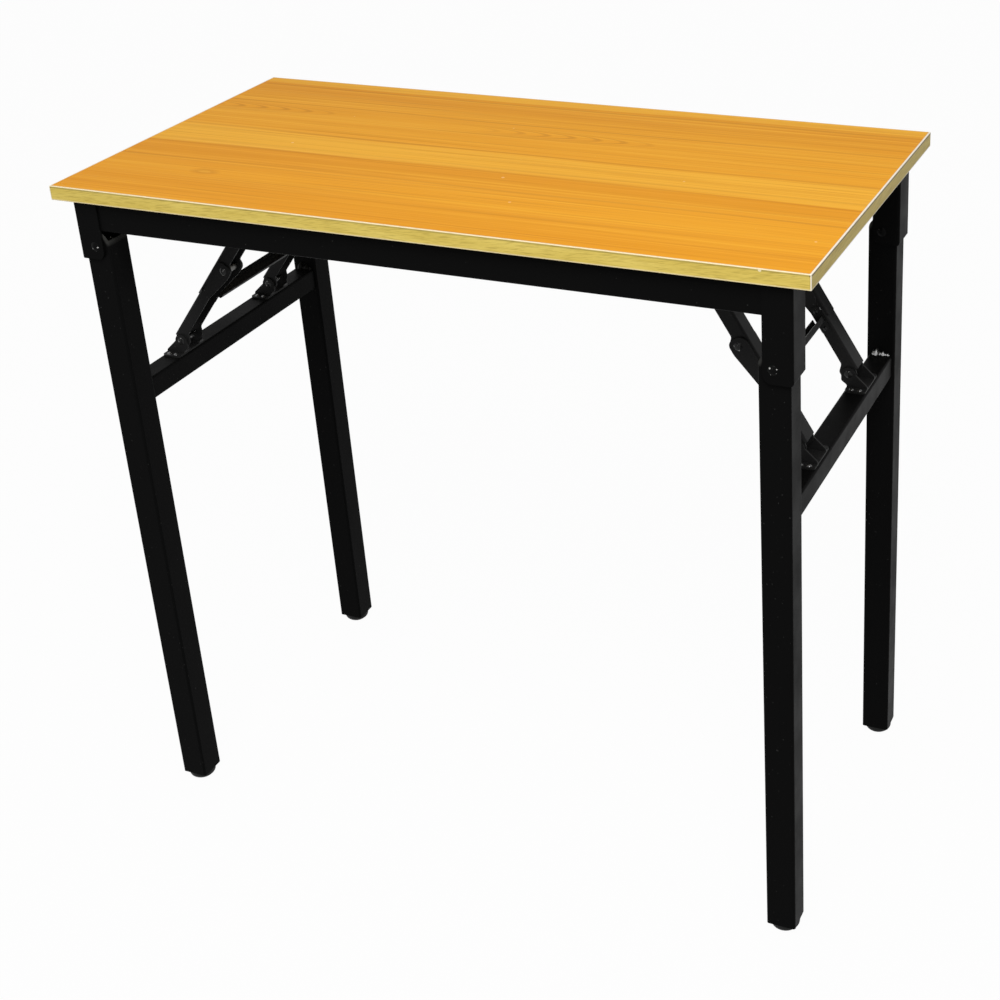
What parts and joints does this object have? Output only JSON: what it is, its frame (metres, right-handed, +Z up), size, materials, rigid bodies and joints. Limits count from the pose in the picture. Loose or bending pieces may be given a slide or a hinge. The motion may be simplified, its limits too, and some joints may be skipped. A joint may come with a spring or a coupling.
{
  "type": "folding desk",
  "caption": "Small folding desk with a wood-grain laminated top on black steel tube legs that fold flat under it on hinged braces.",
  "frame": {"origin": "on the floor, under the middle of the top", "axes": "+X along the top's long side, +Y from the front to the back, +Z up"},
  "size_m": [0.8, 0.4, 0.74],
  "materials": {
    "laminate": "satin cherry wood-grain laminate",
    "core": "pressed particle board",
    "backer": "plain balancing sheet",
    "edge_band": "satin wood-tone plastic band",
    "black_steel": "black powder coat",
    "bright_steel": "bright zinc plated",
    "foot_plastic": "matt black moulded plastic",
    "nylon": "black nylon"
  },
  "bodies": {
    "top": {"back_edge_band": "edge_band", "back_rail": "black_steel", "board_core": "core", "front_edge_band": "edge_band", "front_rail": "black_steel", "hinge_rivets": "black_steel", "hinge_washers": "nylon", "left_back_hinge_bracket": "black_steel", "left_back_upper_lug": "black_steel", "left_edge_band": "edge_band", "left_front_hinge_bracket": "black_steel", "left_front_upper_lug": "black_steel", "rail_screws": "black_steel", "right_back_hinge_bracket": "black_steel", "right_back_upper_lug": "black_steel", "right_edge_band": "edge_band", "right_front_hinge_bracket": "black_steel", "right_front_upper_lug": "black_steel", "top_laminate": "laminate", "underside_backer": "backer", "upper_lug_screws": "black_steel", "upper_pivot_rivets": "black_steel"},
    "left_leg_frame": {"left_front_leg": "black_steel", "left_back_leg": "black_steel", "left_cross_rail": "black_steel", "left_front_foot": "foot_plastic", "left_back_foot": "foot_plastic", "left_front_lower_lug": "black_steel", "left_back_lower_lug": "black_steel", "left_lower_lug_screws": "black_steel", "left_lower_pivot_rivets": "black_steel"},
    "left_front_upper_brace": {"left_front_upper_link": "black_steel", "left_front_knee_sleeve": "bright_steel"},
    "left_back_upper_brace": {"left_back_upper_link": "black_steel", "left_back_knee_sleeve": "bright_steel"},
    "left_lower_braces": {"left_front_lower_link": "black_steel", "left_back_lower_link": "black_steel", "left_tie_bar": "black_steel", "left_tie_rivets": "black_steel", "left_knee_rivets": "black_steel"},
    "right_leg_frame": {"right_front_leg": "black_steel", "right_back_leg": "black_steel", "right_cross_rail": "black_steel", "right_front_foot": "foot_plastic", "right_back_foot": "foot_plastic", "right_front_lower_lug": "black_steel", "right_back_lower_lug": "black_steel", "right_lower_lug_screws": "black_steel", "right_lower_pivot_rivets": "black_steel"},
    "right_front_upper_brace": {"right_front_upper_link": "black_steel", "right_front_knee_sleeve": "bright_steel"},
    "right_back_upper_brace": {"right_back_upper_link": "black_steel", "right_back_knee_sleeve": "bright_steel"},
    "right_lower_braces": {"right_front_lower_link": "black_steel", "right_back_lower_link": "black_steel", "right_tie_bar": "black_steel", "right_tie_rivets": "black_steel", "right_knee_rivets": "black_steel"}
  },
  "joints": [
    {"name": "left_leg_fold", "type": "hinge", "parent": "top", "child": "left_leg_frame", "pos_m": [-0.362, 0, 0.67575], "axis": [0, -1, 0], "range_deg": [0, 90]},
    {"name": "left_front_upper_brace_turn", "type": "hinge", "parent": "top", "child": "left_front_upper_brace", "pos_m": [-0.21622, -0.084, 0.709], "axis": [0, 1, 0], "range_deg": [0, 46.66]},
    {"name": "left_back_upper_brace_turn", "type": "hinge", "parent": "top", "child": "left_back_upper_brace", "pos_m": [-0.21622, 0.084, 0.709], "axis": [0, 1, 0], "range_deg": [0, 46.66]},
    {"name": "left_lower_braces_turn", "type": "hinge", "parent": "left_leg_frame", "child": "left_lower_braces", "pos_m": [-0.3525, 0, 0.52997], "axis": [0, -1, 0], "range_deg": [0, 31.22]},
    {"name": "right_leg_fold", "type": "hinge", "parent": "top", "child": "right_leg_frame", "pos_m": [0.362, 0, 0.64225], "axis": [0, 1, 0], "range_deg": [0, 90]},
    {"name": "right_front_upper_brace_turn", "type": "hinge", "parent": "top", "child": "right_front_upper_brace", "pos_m": [0.23616, -0.084, 0.709], "axis": [0, -1, 0], "range_deg": [0, 44.12]},
    {"name": "right_back_upper_brace_turn", "type": "hinge", "parent": "top", "child": "right_back_upper_brace", "pos_m": [0.23616, 0.084, 0.709], "axis": [0, -1, 0], "range_deg": [0, 44.12]},
    {"name": "right_lower_braces_turn", "type": "hinge", "parent": "right_leg_frame", "child": "right_lower_braces", "pos_m": [0.3525, 0, 0.51641], "axis": [0, 1, 0], "range_deg": [0, 16.39]}
  ],
  "couplings": [
    {"joint": "left_front_upper_brace_turn", "follows": "left_leg_fold", "ratio": 0.51847},
    {"joint": "left_back_upper_brace_turn", "follows": "left_leg_fold", "ratio": 0.51847},
    {"joint": "left_lower_braces_turn", "follows": "left_leg_fold", "ratio": 0.34689},
    {"joint": "right_front_upper_brace_turn", "follows": "right_leg_fold", "ratio": 0.49027},
    {"joint": "right_back_upper_brace_turn", "follows": "right_leg_fold", "ratio": 0.49027},
    {"joint": "right_lower_braces_turn", "follows": "right_leg_fold", "ratio": 0.18216}
  ]
}
